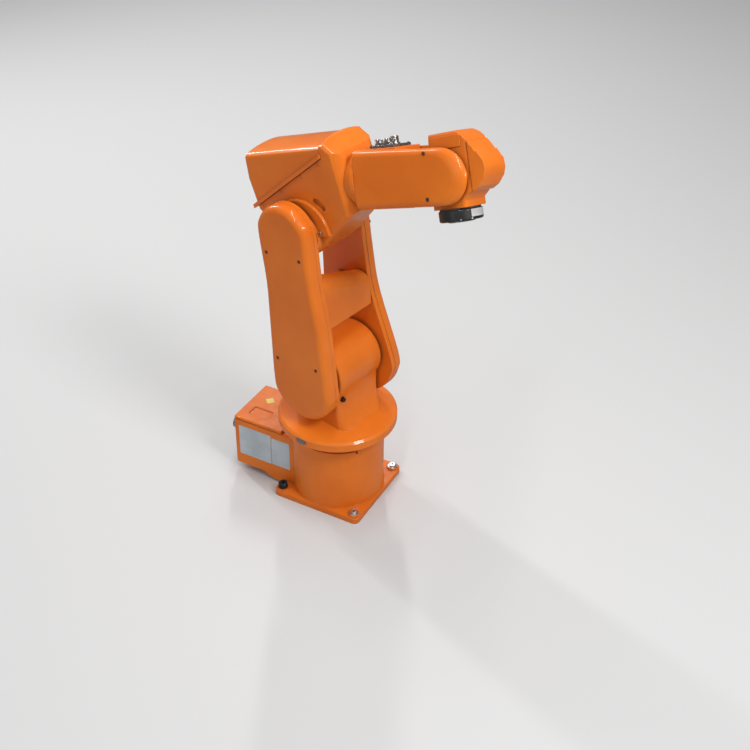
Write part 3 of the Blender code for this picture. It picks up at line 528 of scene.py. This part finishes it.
brushed_panel = finish("brushed_aluminium", PANEL, PANEL_GREY, ZINC_BRIGHT, OIL_AND_SHADE, 0.36, metallic=1.0,
                       wear=0.4, dirt_and_shade=0.5, edge=0.0005, patches=30.0, ripple=700.0,
                       streak=(1.0, 0.06, 1.0))
nickel = finish("nickel_plate", NICKEL, NICKEL_DULL, ZINC_BRIGHT, OIL_AND_SHADE, 0.24, metallic=1.0, wear=0.4,
                dirt_and_shade=0.5, edge=0.0003, patches=80.0, ripple=2500.0)
black_plastic = finish("black_moulding", PLASTIC, PLASTIC_GREY, PLASTIC_WORN, DUST_AND_SHADE, 0.48, wear=0.4,
                       dirt_and_shade=0.3, edge=0.0004, patches=60.0, ripple=1800.0, ripple_height=0.12)
pin_brass = finish("pin_brass", BRASS, BRASS_DULL, ZINC_BRIGHT, OIL_AND_SHADE, 0.28, metallic=1.0, wear=0.3,
                   dirt_and_shade=0.4, edge=0.0002, patches=120.0, ripple=2500.0)

rounded_solid("panel_skin", "rear_panel", "base", brushed_panel, 0.0005)
rounded_solid("motor_socket_shell", "motor_socket", "base", black_plastic, 0.0008)
rounded_solid("signal_socket_shell", "signal_socket", "base", nickel, 0.0006)
rounded_solid("air_inlet_rail", "air_inlets", "base", brushed_panel, 0.0004)

TO_REAR = Matrix.Rotation(math.radians(-90), 4, "Y")
panel_low, panel_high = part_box("rear_panel")
panel_rear = panel_low.x
socket_low, socket_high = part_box("motor_socket")
signal_low, signal_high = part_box("signal_socket")
inlet_low, inlet_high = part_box("air_inlets")
socket_y, socket_z = (socket_low.y + socket_high.y) / 2, (socket_low.z + socket_high.z) / 2
signal_y, signal_z = (signal_low.y + signal_high.y) / 2, (signal_low.z + signal_high.z) / 2

SOCKET_FLOOR = 0.0030
PIN_LENGTH = 0.0050
MOTOR_PIN, MOTOR_PITCH, MOTOR_ROW = 0.0013, 0.0085, 0.0050
SIGNAL_PIN, SIGNAL_CIRCLE, SIGNAL_COUNT = 0.0006, 0.0055, 9
INSERT_RADIUS = 0.0086
bm = bmesh.new()
for column in range(4):
    for row in (-1, 1):
        spot = (socket_high.x - SOCKET_FLOOR, socket_y + (column - 1.5) * MOTOR_PITCH,
                socket_z + row * MOTOR_ROW)
        add_ring(bm, MOTOR_PIN, 0.0, PIN_LENGTH, Matrix.Translation(spot) @ TO_REAR, segments=12,
                 bevel=0.0004)
place_piece("motor_pins", bm, HERE, "base", pin_brass)

bm = bmesh.new()
for index in range(SIGNAL_COUNT):
    turn = math.radians(360 / SIGNAL_COUNT * index)
    spot = (signal_high.x - SOCKET_FLOOR, signal_y + SIGNAL_CIRCLE * math.cos(turn),
            signal_z + SIGNAL_CIRCLE * math.sin(turn))
    add_ring(bm, SIGNAL_PIN, 0.0, PIN_LENGTH, Matrix.Translation(spot) @ TO_REAR, segments=10, bevel=0.0002)
place_piece("signal_pins", bm, HERE, "base", pin_brass)

bm = bmesh.new()
spot = (signal_high.x - SOCKET_FLOOR, signal_y, signal_z)
add_ring(bm, INSERT_RADIUS, 0.0002, 0.0012, Matrix.Translation(spot) @ TO_REAR)
place_piece("signal_insert", bm, HERE, "base", black_plastic)

PANEL_SCREW = (0.0022, 0.0012, 0.0011, 0.0008, 0.0004)
PANEL_SCREW_INSET = (0.0045, 0.0040)
panel_reach = panel_high.y - PANEL_SCREW_INSET[0]
panel_rise = (panel_high.z - panel_low.z) / 2 - PANEL_SCREW_INSET[1]
panel_middle = (panel_low.z + panel_high.z) / 2
bm = bmesh.new()
for side_y in (-1, 0, 1):
    for side_z in (-1, 1):
        spot = (panel_rear - LIFT, side_y * panel_reach, panel_middle + side_z * panel_rise)
        add_cap_screw(bm, *PANEL_SCREW, Matrix.Translation(spot) @ TO_REAR)
place_piece("panel_screws", bm, HERE, "base", zinc)

INLET_PITCH = 0.012
INLET_COLLARS = ((0.0042, 0.0062, 0.0046), (0.0092, 0.0118, 0.0042))
bm = bmesh.new()
for index in range(4):
    spot = (inlet_high.x, (index - 1.5) * INLET_PITCH, (inlet_low.z + inlet_high.z) / 2)
    for low, high, radius in INLET_COLLARS:
        add_ring(bm, radius, low, high, Matrix.Translation(spot) @ TO_REAR, segments=24, bevel=0.0004)
place_piece("inlet_collars", bm, HERE, "base", nickel)


# Turntable and pedestal
# One painted casting turns on the column: a disc with a rounded rim, a pedestal and the shoulder head.
# The pedestal flares out in a smooth curve to meet the disc. A dark ring seals the bearing under the rim,
# and a groove cut in the column's wall ends at a short notch.

SEAL = (0.030, 0.029, 0.028)
SEAL_GREY = (0.050, 0.048, 0.046)
SEAL_WORN = (0.12, 0.115, 0.11)

dark_seal = finish("dark_rubber", SEAL, SEAL_GREY, SEAL_WORN, DUST_AND_SHADE, 0.55, wear=0.3, dirt_and_shade=0.4,
                   edge=0.0005, patches=40.0, ripple=1500.0, ripple_height=0.10)

TURNTABLE_TURN = -10.5
TURN = Matrix.Rotation(math.radians(TURNTABLE_TURN), 4, "Z")
FLARE_REACH = 0.084
FLARE_HALF = 0.0555
FLARE_ROUND = 0.032
FLARE_SINK = 0.006
WAIST_HALF = 0.047
WAIST_ROUND = 0.005
WAIST_TOP = 0.244
DISC_TOP = 0.1822
bm = bmesh.new()
rings = []
for angle in range(0, 91, 9):
    widening = 1 - math.sin(math.radians(angle))
    reach = WAIST_HALF + (FLARE_REACH - WAIST_HALF) * widening
    height = WAIST_TOP - (WAIST_TOP - DISC_TOP) * math.cos(math.radians(angle))
    corner = WAIST_ROUND + FLARE_ROUND * widening
    rings.append((reach, corner, height))
rings.insert(0, (*rings[0][:2], DISC_TOP - FLARE_SINK))
loops = [[bm.verts.new((side_x * (reach - corner) + corner * math.cos(math.radians(turn)),
                        side_y * (FLARE_HALF - corner) + corner * math.sin(math.radians(turn)), height))
          for side_x, side_y, first in ((1, 1, 0), (-1, 1, 90), (-1, -1, 180), (1, -1, 270))
          for turn in range(first, first + 91, 15)] for reach, corner, height in rings]
for low_loop, high_loop in zip(loops, loops[1:]):
    for index in range(len(low_loop)):
        bm.faces.new((low_loop[index - 1], low_loop[index], high_loop[index], high_loop[index - 1]))
bm.faces.new(list(reversed(loops[0])))
bm.faces.new(loops[-1])
bmesh.ops.transform(bm, matrix=TURN, verts=bm.verts)
rounded_solid("turntable_skin", "shoulder_casting", "turntable", orange_paint, 0.0012,
              changes=[("UNION", bm)])
rounded_solid("bearing_seal", "bearing_ring", "base", dark_seal, 0.0006)

COLUMN_RADIUS = 0.0865
GROOVE_DEPTH = 0.0032
GROOVE_LOW, GROOVE_HIGH = 0.1410, 0.1500
GROOVE_START, GROOVE_END = -116.0, -36.0
NOTCH_LOW = 0.1355
NOTCH_SWEEP = 2.4
NOTCH_PAST = 0.3


def add_arc_wall(bm, inner, outer, low, high, start, sweep):
    """A wall that stands on a circle round Z, swept through part of a turn and closed at both ends."""
    corners = [bm.verts.new((radius, 0.0, height))
               for radius, height in ((inner, low), (outer, low), (outer, high), (inner, high))]
    section = bm.faces.new(corners)
    bmesh.ops.rotate(bm, verts=corners, matrix=Matrix.Rotation(math.radians(start), 3, "Z"))
    bmesh.ops.spin(bm, geom=[section], angle=math.radians(sweep), steps=max(2, int(sweep / 3)),
                   axis=(0, 0, 1), cent=(0, 0, 0))
    bmesh.ops.holes_fill(bm, edges=[edge for edge in bm.edges if len(edge.link_faces) == 1])


for low, start, sweep in ((GROOVE_LOW, GROOVE_START, GROOVE_END - GROOVE_START),
                          (NOTCH_LOW, GROOVE_END - NOTCH_SWEEP, NOTCH_SWEEP + NOTCH_PAST)):
    bm = bmesh.new()
    add_arc_wall(bm, COLUMN_RADIUS - GROOVE_DEPTH, COLUMN_RADIUS + GROOVE_DEPTH, low, GROOVE_HIGH, start,
                 sweep)
    reshape(bpy.data.objects["base_skin"], "DIFFERENCE", bm)


# Marks on the turntable
# A bare oval plate of dull metal is pinned on the rim.
# The stop screw on the pedestal has a blackened hexagon head over a locknut; its dark colour is partly its
# own and partly painted shade, as it sits in shadow.

TURNTABLE_RADIUS = 0.110
MARK_HEIGHT = 0.1728
MARK_ANGLE = -97.0
MARK_HALVES = (0.0115, 0.0055)
MARK_THICKNESS = 0.0006
PLATE_GREY = (0.30, 0.29, 0.27)
PLATE_DARK = (0.20, 0.19, 0.18)

plate_metal = finish("dull_plate", PLATE_GREY, PLATE_DARK, ZINC, GRIME_AND_SHADE, 0.45, metallic=0.7, wear=0.5,
                     dirt_and_shade=0.5, edge=0.0004, patches=60.0, ripple=1200.0)
bm = bmesh.new()
bmesh.ops.create_circle(bm, cap_ends=True, segments=36, radius=1.0)
bmesh.ops.scale(bm, vec=(*MARK_HALVES, 1.0), verts=bm.verts)
bmesh.ops.subdivide_edges(bm, edges=list(bm.edges), cuts=1, use_grid_fill=True)
bmesh.ops.triangulate(bm, faces=bm.faces)
grown = bmesh.ops.extrude_face_region(bm, geom=list(bm.faces))["geom"]
bmesh.ops.translate(bm, vec=(0, 0, MARK_THICKNESS), verts=only_verts(grown))
for vert in bm.verts:
    bend = vert.co.x / TURNTABLE_RADIUS
    reach = TURNTABLE_RADIUS + LIFT + vert.co.z
    vert.co = Vector((reach * math.cos(bend), reach * math.sin(bend), vert.co.y))
mark_place = Matrix.Translation((0, 0, MARK_HEIGHT)) @ Matrix.Rotation(math.radians(MARK_ANGLE), 4, "Z")
place_piece("rim_plate", bm, mark_place, "turntable", plate_metal)

stop_low, stop_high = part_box("shoulder_stop")
stop_middle = (stop_low + stop_high) / 2
TO_FRONT = Matrix.Rotation(math.radians(90), 4, "Y")
STOP_HEXAGONS = ((0.0052, 0.0052, 0.0022, -0.0019), (0.0046, 0.0042, 0.0030, 0.0012))
# The stop screw's dark steel also stands for the shadow it sits in: painted shade.
bm = bmesh.new()
for radius, top_radius, depth, height in STOP_HEXAGONS:
    bmesh.ops.create_cone(bm, cap_ends=True, segments=6, radius1=radius, radius2=top_radius, depth=depth,
                          matrix=TO_FRONT @ Matrix.Translation((0, 0, height)))
stop_screw = place_piece("stop_screw", bm, Matrix.Translation(stop_middle) @ TURN, "turntable", black_steel)
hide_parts("shoulder_stop")


# Lower arm
# Two bulged plates and the cross-piece between them carry the elbow, all painted alike.
# Each plate is a casting with a cover over it, held by four small sunk screws.

AXIS_2_HEIGHT = 0.290
ARM_LEAN = -5.5
LEAN = TURN @ Matrix.Translation((0, 0, AXIS_2_HEIGHT)) @ Matrix.Rotation(math.radians(ARM_LEAN), 4, "Y")
PLATE_FACE = 0.091
SCREW_BROWN = (0.16, 0.05, 0.02)
SCREW_DARK = (0.09, 0.035, 0.02)

painted_screw = finish("painted_screw", SCREW_BROWN, SCREW_DARK, ZINC, OIL_AND_SHADE, 0.40, metallic=0.3, wear=0.3,
                       dirt_and_shade=0.6, edge=0.0003, patches=90.0, ripple=2500.0)
for side in ("right", "left"):
    rounded_solid(side + "_arm_inner_skin", side + "_arm_casting", "lower_arm", orange_paint, 0.0008)
    rounded_solid(side + "_arm_cover_skin", side + "_arm_cover", "lower_arm", orange_paint, 0.0)
rounded_solid("web_skin", "arm_web", "lower_arm", orange_paint, 0.0030)

TO_LEFT_SIDE = Matrix.Rotation(math.radians(-90), 4, "X")
SUNK_SCREW = (0.0032, 0.0004, 0.0016, 0.0003, 0.0002)
PLATE_SCREWS = ((0.020, 0.240), (-0.053, 0.239), (0.032, 0.034), (-0.057, 0.031))
for side, sign, turned in (("right", -1, TO_RIGHT_SIDE), ("left", 1, TO_LEFT_SIDE)):
    bm = bmesh.new()
    for x, z in PLATE_SCREWS:
        add_cap_screw(bm, *SUNK_SCREW, Matrix.Translation((x, sign * (PLATE_FACE + HAIR), z)) @ turned)
    place_piece(side + "_plate_screws", bm, LEAN, "lower_arm", painted_screw)


# Elbow housing
# A painted casting with a round neck for the forearm, and a rear cover closed along a slanting flange.
# The casting's front corners are rounded off and a slanting oval pocket is cut in each side. A zinc plated
# screw shows beside the hub, and small painted screws hold the cover from below its flange.

LOWER_ARM_LENGTH = 0.270
ELBOW_BEND = -15.0
ELBOW = (LEAN @ Matrix.Translation((0, 0, LOWER_ARM_LENGTH))
         @ Matrix.Rotation(math.radians(ELBOW_BEND), 4, "Y"))
ELBOW_SIDE = 0.049
SEAM_LOW, SEAM_RISE, SEAM_START, SEAM_END = 0.049, 0.405, -0.096, 0.086
SEAM_SIDE = 0.053
SEAM_FOOT, SEAM_TOP = 0.0003, 0.0070
SEAM_PAST, SEAM_SHORT = 0.004, 0.0003
FRONT, BAND_SIDE, FRONT_ROUND = 0.118, 0.052, 0.026
CORNER_ROOM = 0.004
CORNER_PAST = 0.0002
CORNER_TALL = 0.180
NECK = 0.042
NECK_WIDENING = 0.002
NECK_LENGTH = 0.036
NECK_MIDDLE = 0.108
NECK_RISE = 0.070
POCKET = (0.0535, 0.0465)
POCKET_TURN = -49.0
POCKET_STRAIGHT, POCKET_ROUND = 0.0065, 0.0058
POCKET_DEPTH, POCKET_PAST = 0.005, 0.008


def seam_height(x):
    """Height of the seam between casting and cover."""
    return SEAM_LOW + SEAM_RISE * (x - SEAM_START)


def around(radius, angle):
    """The point of a circle at an angle in degrees."""
    return Vector((radius * math.cos(math.radians(angle)), radius * math.sin(math.radians(angle))))


corner_tool = bmesh.new()
for side in (-1, 1):
    centre = Vector((FRONT - FRONT_ROUND, BAND_SIDE - FRONT_ROUND))
    past = (FRONT + CORNER_PAST, BAND_SIDE + CORNER_ROOM)
    cut = [centre + around(FRONT_ROUND, angle) for angle in range(0, 91, 10)]
    cut += [(centre.x, past[1]), past, (past[0], centre.y)]
    add_slab(corner_tool, [(x, side * y) for x, y in cut], -CORNER_TALL, CORNER_TALL,
             ELBOW @ Matrix.Rotation(math.radians(90), 4, "X"))
neck_tool = bmesh.new()
neck_place = ELBOW @ Matrix.Translation((NECK_MIDDLE, 0, NECK_RISE)) @ TO_FRONT
bmesh.ops.create_cone(neck_tool, cap_ends=True, segments=48, radius1=NECK, radius2=NECK + NECK_WIDENING,
                      depth=NECK_LENGTH, matrix=neck_place)
pocket_tool = bmesh.new()
slant = Matrix.Rotation(math.radians(POCKET_TURN), 2)
oval = [Vector((sign * POCKET_STRAIGHT, 0)) + around(POCKET_ROUND, sign * 90 + angle - 90)
        for sign in (1, -1) for angle in range(-90, 91, 18)]
oval = [slant @ point + Vector(POCKET) for point in oval]
for side in (-1, 1):
    low, high = sorted((side * (ELBOW_SIDE - POCKET_DEPTH), side * (ELBOW_SIDE + POCKET_PAST)))
    add_slab(pocket_tool, oval, low, high, ELBOW)
rounded_solid("elbow_skin", "elbow_casting", "elbow", orange_paint, 0.0012,
              changes=[("DIFFERENCE", corner_tool), ("UNION", neck_tool), ("DIFFERENCE", pocket_tool)])

flange_tool = bmesh.new()
start, end = SEAM_START - SEAM_PAST, SEAM_END - SEAM_SHORT
flange = [(x, seam_height(x) + rise)
          for x, rise in ((start, SEAM_FOOT), (end, SEAM_FOOT), (end, SEAM_TOP), (start, SEAM_TOP))]
add_slab(flange_tool, flange, -SEAM_SIDE, SEAM_SIDE, ELBOW)
rounded_solid("elbow_cover_skin", "elbow_cover", "elbow", orange_paint, 0.0015,
              changes=[("UNION", flange_tool)])

HUB_SCREW = (0.0038, 0.0030, 0.0019, 0.0020, 0.0005)
HUB_SCREW_SPOT = (0.043, -0.0553, 0.001)
SEAM_SCREW = (0.0025, 0.0010, 0.0012, 0.0007, 0.0003)
SEAM_SCREW_DROP = 0.0050
bm = bmesh.new()
add_cap_screw(bm, *HUB_SCREW, Matrix.Translation(HUB_SCREW_SPOT) @ TO_RIGHT_SIDE)
place_piece("hub_screw", bm, ELBOW, "elbow", zinc)

bm = bmesh.new()
for sign, turned in ((-1, TO_RIGHT_SIDE), (1, TO_LEFT_SIDE)):
    for x in (-0.078, -0.024, 0.030, 0.074):
        spot = (x, sign * (ELBOW_SIDE + HAIR), seam_height(x) - SEAM_SCREW_DROP)
        add_cap_screw(bm, *SEAM_SCREW, Matrix.Translation(spot) @ turned)
place_piece("seam_screws", bm, ELBOW, "elbow", orange_paint)


# Forearm
# Two painted tines on a solid root, each with a rounded nose that thins to the outside and two small sunk
# screws. The nickel plated plate on top carries a threaded connector and four air outlets.

FOREARM_ROLL = -14.0
FOREARM = ELBOW @ Matrix.Translation((0, 0, NECK_RISE)) @ Matrix.Rotation(math.radians(FOREARM_ROLL), 4, "X")
TINE_START, TINE_END, TINE_HALF = 0.1343, 0.302, 0.046
TINE_FLAT, TINE_FACE = 0.030, 0.042
TINE_SECTIONS = ((0.0, 0.0), (0.30, 0.0), (0.62, 0.16), (0.86, 0.48), (1.0, 1.0))
TINE_EDGE, TINE_NOSE, TINE_FALL, TINE_ROOM = 0.011, 0.024, 0.006, 0.001
TINE_SCREWS = ((0.279, 0.0335), (0.279, -0.0335))
for side, sign in (("right", -1), ("left", 1)):
    bm = bmesh.new()
    for depth, inset in TINE_SECTIONS:
        half = TINE_HALF - inset * TINE_EDGE
        end = TINE_END + TINE_HALF - inset * TINE_NOSE
        start = TINE_START - TINE_ROOM
        y = sign * (TINE_FLAT - TINE_ROOM + depth * (TINE_FACE + TINE_ROOM - TINE_FLAT))
        rim = [Vector((end - half, 0)) + around(half, turn) for turn in range(-90, 91, 9)]
        for x, z in [(start, half), (start, -half)] + rim:
            fall = TINE_FALL * (x - TINE_START) / (TINE_END - TINE_START) if z > 0 else 0.0
            bm.verts.new((x, y, z - fall))
    hull = bmesh.ops.convex_hull(bm, input=bm.verts)
    bmesh.ops.delete(bm, geom=only_verts(hull["geom_interior"]), context="VERTS")
    bmesh.ops.dissolve_limit(bm, angle_limit=math.radians(1.0), verts=bm.verts, edges=bm.edges)
    bmesh.ops.transform(bm, matrix=FOREARM, verts=bm.verts)
    rounded_solid(side + "_tine_skin", side + "_tine", "forearm", orange_paint, 0.0010,
                  changes=[("INTERSECT", bm)])
rounded_solid("root_skin", "fork_root", "forearm", orange_paint, 0.0010)
rounded_solid("connection_skin", "connection_plate", "forearm", nickel, 0.0004)

for side, sign, turned in (("right", -1, TO_RIGHT_SIDE), ("left", 1, TO_LEFT_SIDE)):
    bm = bmesh.new()
    for x, z in TINE_SCREWS:
        add_cap_screw(bm, *SUNK_SCREW, Matrix.Translation((x, sign * (TINE_FACE + HAIR), z)) @ turned)
    place_piece(side + "_tine_screws", bm, FOREARM, "forearm", painted_screw)

CONNECTION_TOP = 0.0503
CONNECTOR_X = 0.188
CONNECTOR_RINGS = ((0.0, 0.0020, 0.0092), (0.0030, 0.0036, 0.0078), (0.0045, 0.0051, 0.0078),
                   (0.0060, 0.0066, 0.0078), (0.0075, 0.0081, 0.0078), (0.0090, 0.0104, 0.0074))
bm = bmesh.new()
for low, high, radius in CONNECTOR_RINGS:
    connector = Matrix.Translation((CONNECTOR_X, 0, CONNECTION_TOP + LIFT))
    add_ring(bm, radius, low, high, connector, bevel=0.0002)
place_piece("connector_thread", bm, FOREARM, "forearm", nickel)

OUTLET_X, OUTLET_Y = (0.162, 0.174), 0.010
OUTLET_HEXAGON, OUTLET_NUT = 0.0046, 0.0030
OUTLET_COLLAR = (0.0040, 0.0060, 0.0086)
bm = bmesh.new()
for x in OUTLET_X:
    for sign in (-1, 1):
        outlet = Matrix.Translation((x, sign * OUTLET_Y, CONNECTION_TOP + LIFT))
        bmesh.ops.create_cone(bm, cap_ends=True, segments=6, radius1=OUTLET_HEXAGON, radius2=OUTLET_HEXAGON,
                              depth=OUTLET_NUT, matrix=outlet @ Matrix.Translation((0, 0, OUTLET_NUT / 2)))
        add_ring(bm, *OUTLET_COLLAR, outlet, segments=24, bevel=0.0004)
place_piece("outlet_unions", bm, FOREARM, "forearm", nickel)

CONNECTION_SCREW = (0.0016, 0.0012, 0.0008, 0.0008, 0.0003)
CONNECTION_SCREW_X, CONNECTION_SCREW_Y = (0.1565, 0.2015), 0.0172
bm = bmesh.new()
for x in CONNECTION_SCREW_X:
    for sign in (-1, 1):
        spot = (x, sign * CONNECTION_SCREW_Y, CONNECTION_TOP + LIFT)
        add_cap_screw(bm, *CONNECTION_SCREW, Matrix.Translation(spot))
place_piece("connection_screws", bm, FOREARM, "forearm", black_steel)


# Wrist
# A painted body between the tines with a humped cover on it, both cut off in a curve at the corner above
# the joint. A thin panel closes each side, and a dark collar parts the body from the flange.

WRIST_BEND = 86.5
WRIST = FOREARM @ Matrix.Translation((TINE_END, 0, 0)) @ Matrix.Rotation(math.radians(WRIST_BEND), 4, "Y")
CORNER_CUT = ((-0.0640, 0.0180), (-0.0605, 0.0260), (-0.0560, 0.0335), (-0.0500, 0.0410), (-0.0430, 0.0480),
              (-0.0350, 0.0545), (-0.0270, 0.0600), (-0.0270, 0.0900), (-0.0800, 0.0900), (-0.0800, 0.0180))
CORNER_CUT_HALF = 0.040
for name, node in (("wrist_skin", "wrist_housing"), ("wrist_cover_skin", "wrist_cover")):
    bm = bmesh.new()
    add_slab(bm, CORNER_CUT, -CORNER_CUT_HALF, CORNER_CUT_HALF, WRIST)
    rounded_solid(name, node, "wrist", orange_paint, 0.0025, changes=[("DIFFERENCE", bm)])
rounded_solid("collar_seal", "wrist_collar", "wrist", dark_seal, 0.0004)
for side in ("right", "left"):
    rounded_solid(side + "_wrist_panel_skin", side + "_wrist_panel", "wrist", orange_paint, 0.0005)


# Tool flange
# A black-coated ring with a steel tool face: a centring bore, four tapped holes and one pin hole.
# A bare silver film is stuck on its side, bent round the ring, and small bright screws show at its rim.

COATING = (0.018, 0.018, 0.019)
COATING_GREY = (0.032, 0.032, 0.034)
SILVER_FILM = (0.66, 0.67, 0.66)
SILVER_DULL = (0.52, 0.53, 0.52)

flange_coating = finish("flange_coating", COATING, COATING_GREY, BARE_STEEL, OIL_AND_SHADE, 0.34, metallic=0.2,
                        coat=0.2, wear=0.4, dirt_and_shade=0.3, edge=0.0005, patches=50.0, ripple=1500.0)
tool_steel = finish("tool_steel", ZINC, ZINC_DULL, ZINC_BRIGHT, OIL_AND_SHADE, 0.28, metallic=1.0, wear=0.3,
                    dirt_and_shade=0.5, edge=0.0004, patches=50.0, ripple=1500.0)
silver_film = finish("silver_film", SILVER_FILM, SILVER_DULL, WHITE_EDGE, DUST_AND_SHADE, 0.34, metallic=0.2,
                     wear=0.3, dirt_and_shade=0.3, edge=0.0004, patches=60.0, ripple=600.0)
rounded_solid("flange_skin", "flange_ring", "tool_flange", flange_coating, 0.0005)
rounded_solid("tool_face_skin", "flange_face", "tool_flange", tool_steel, 0.0003)

FLANGE_RADIUS = 0.033
FLANGE_FILM = (0.0400, 0.0112)
FLANGE_FILM_X, FLANGE_FILM_ANGLE = 0.0600, 11.0
bm = bmesh.new()
bmesh.ops.create_grid(bm, x_segments=20, y_segments=2, size=0.5)
bmesh.ops.scale(bm, vec=(*FLANGE_FILM, 1.0), verts=bm.verts)
grown = bmesh.ops.extrude_face_region(bm, geom=list(bm.faces))["geom"]
bmesh.ops.translate(bm, vec=(0, 0, FILM), verts=only_verts(grown))
for vert in bm.verts:
    bend = vert.co.x / FLANGE_RADIUS + math.radians(FLANGE_FILM_ANGLE)
    reach = FLANGE_RADIUS + LIFT + vert.co.z
    vert.co = Vector((FLANGE_FILM_X + vert.co.y, reach * math.sin(bend), reach * math.cos(bend)))
place_piece("flange_film", bm, WRIST, "tool_flange", silver_film)

RIM_SCREW = (0.0016, 0.0007, 0.0008, 0.0004, 0.0003)
RIM_SCREW_X = 0.0680
bm = bmesh.new()
for turn in (-53.0, -23.0, 127.0, 157.0):
    outwards = Matrix.Translation((RIM_SCREW_X, 0, FLANGE_RADIUS + LIFT))
    add_cap_screw(bm, *RIM_SCREW, Matrix.Rotation(math.radians(-turn), 4, "X") @ outwards)
place_piece("flange_screws", bm, WRIST, "tool_flange", zinc)

low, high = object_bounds()
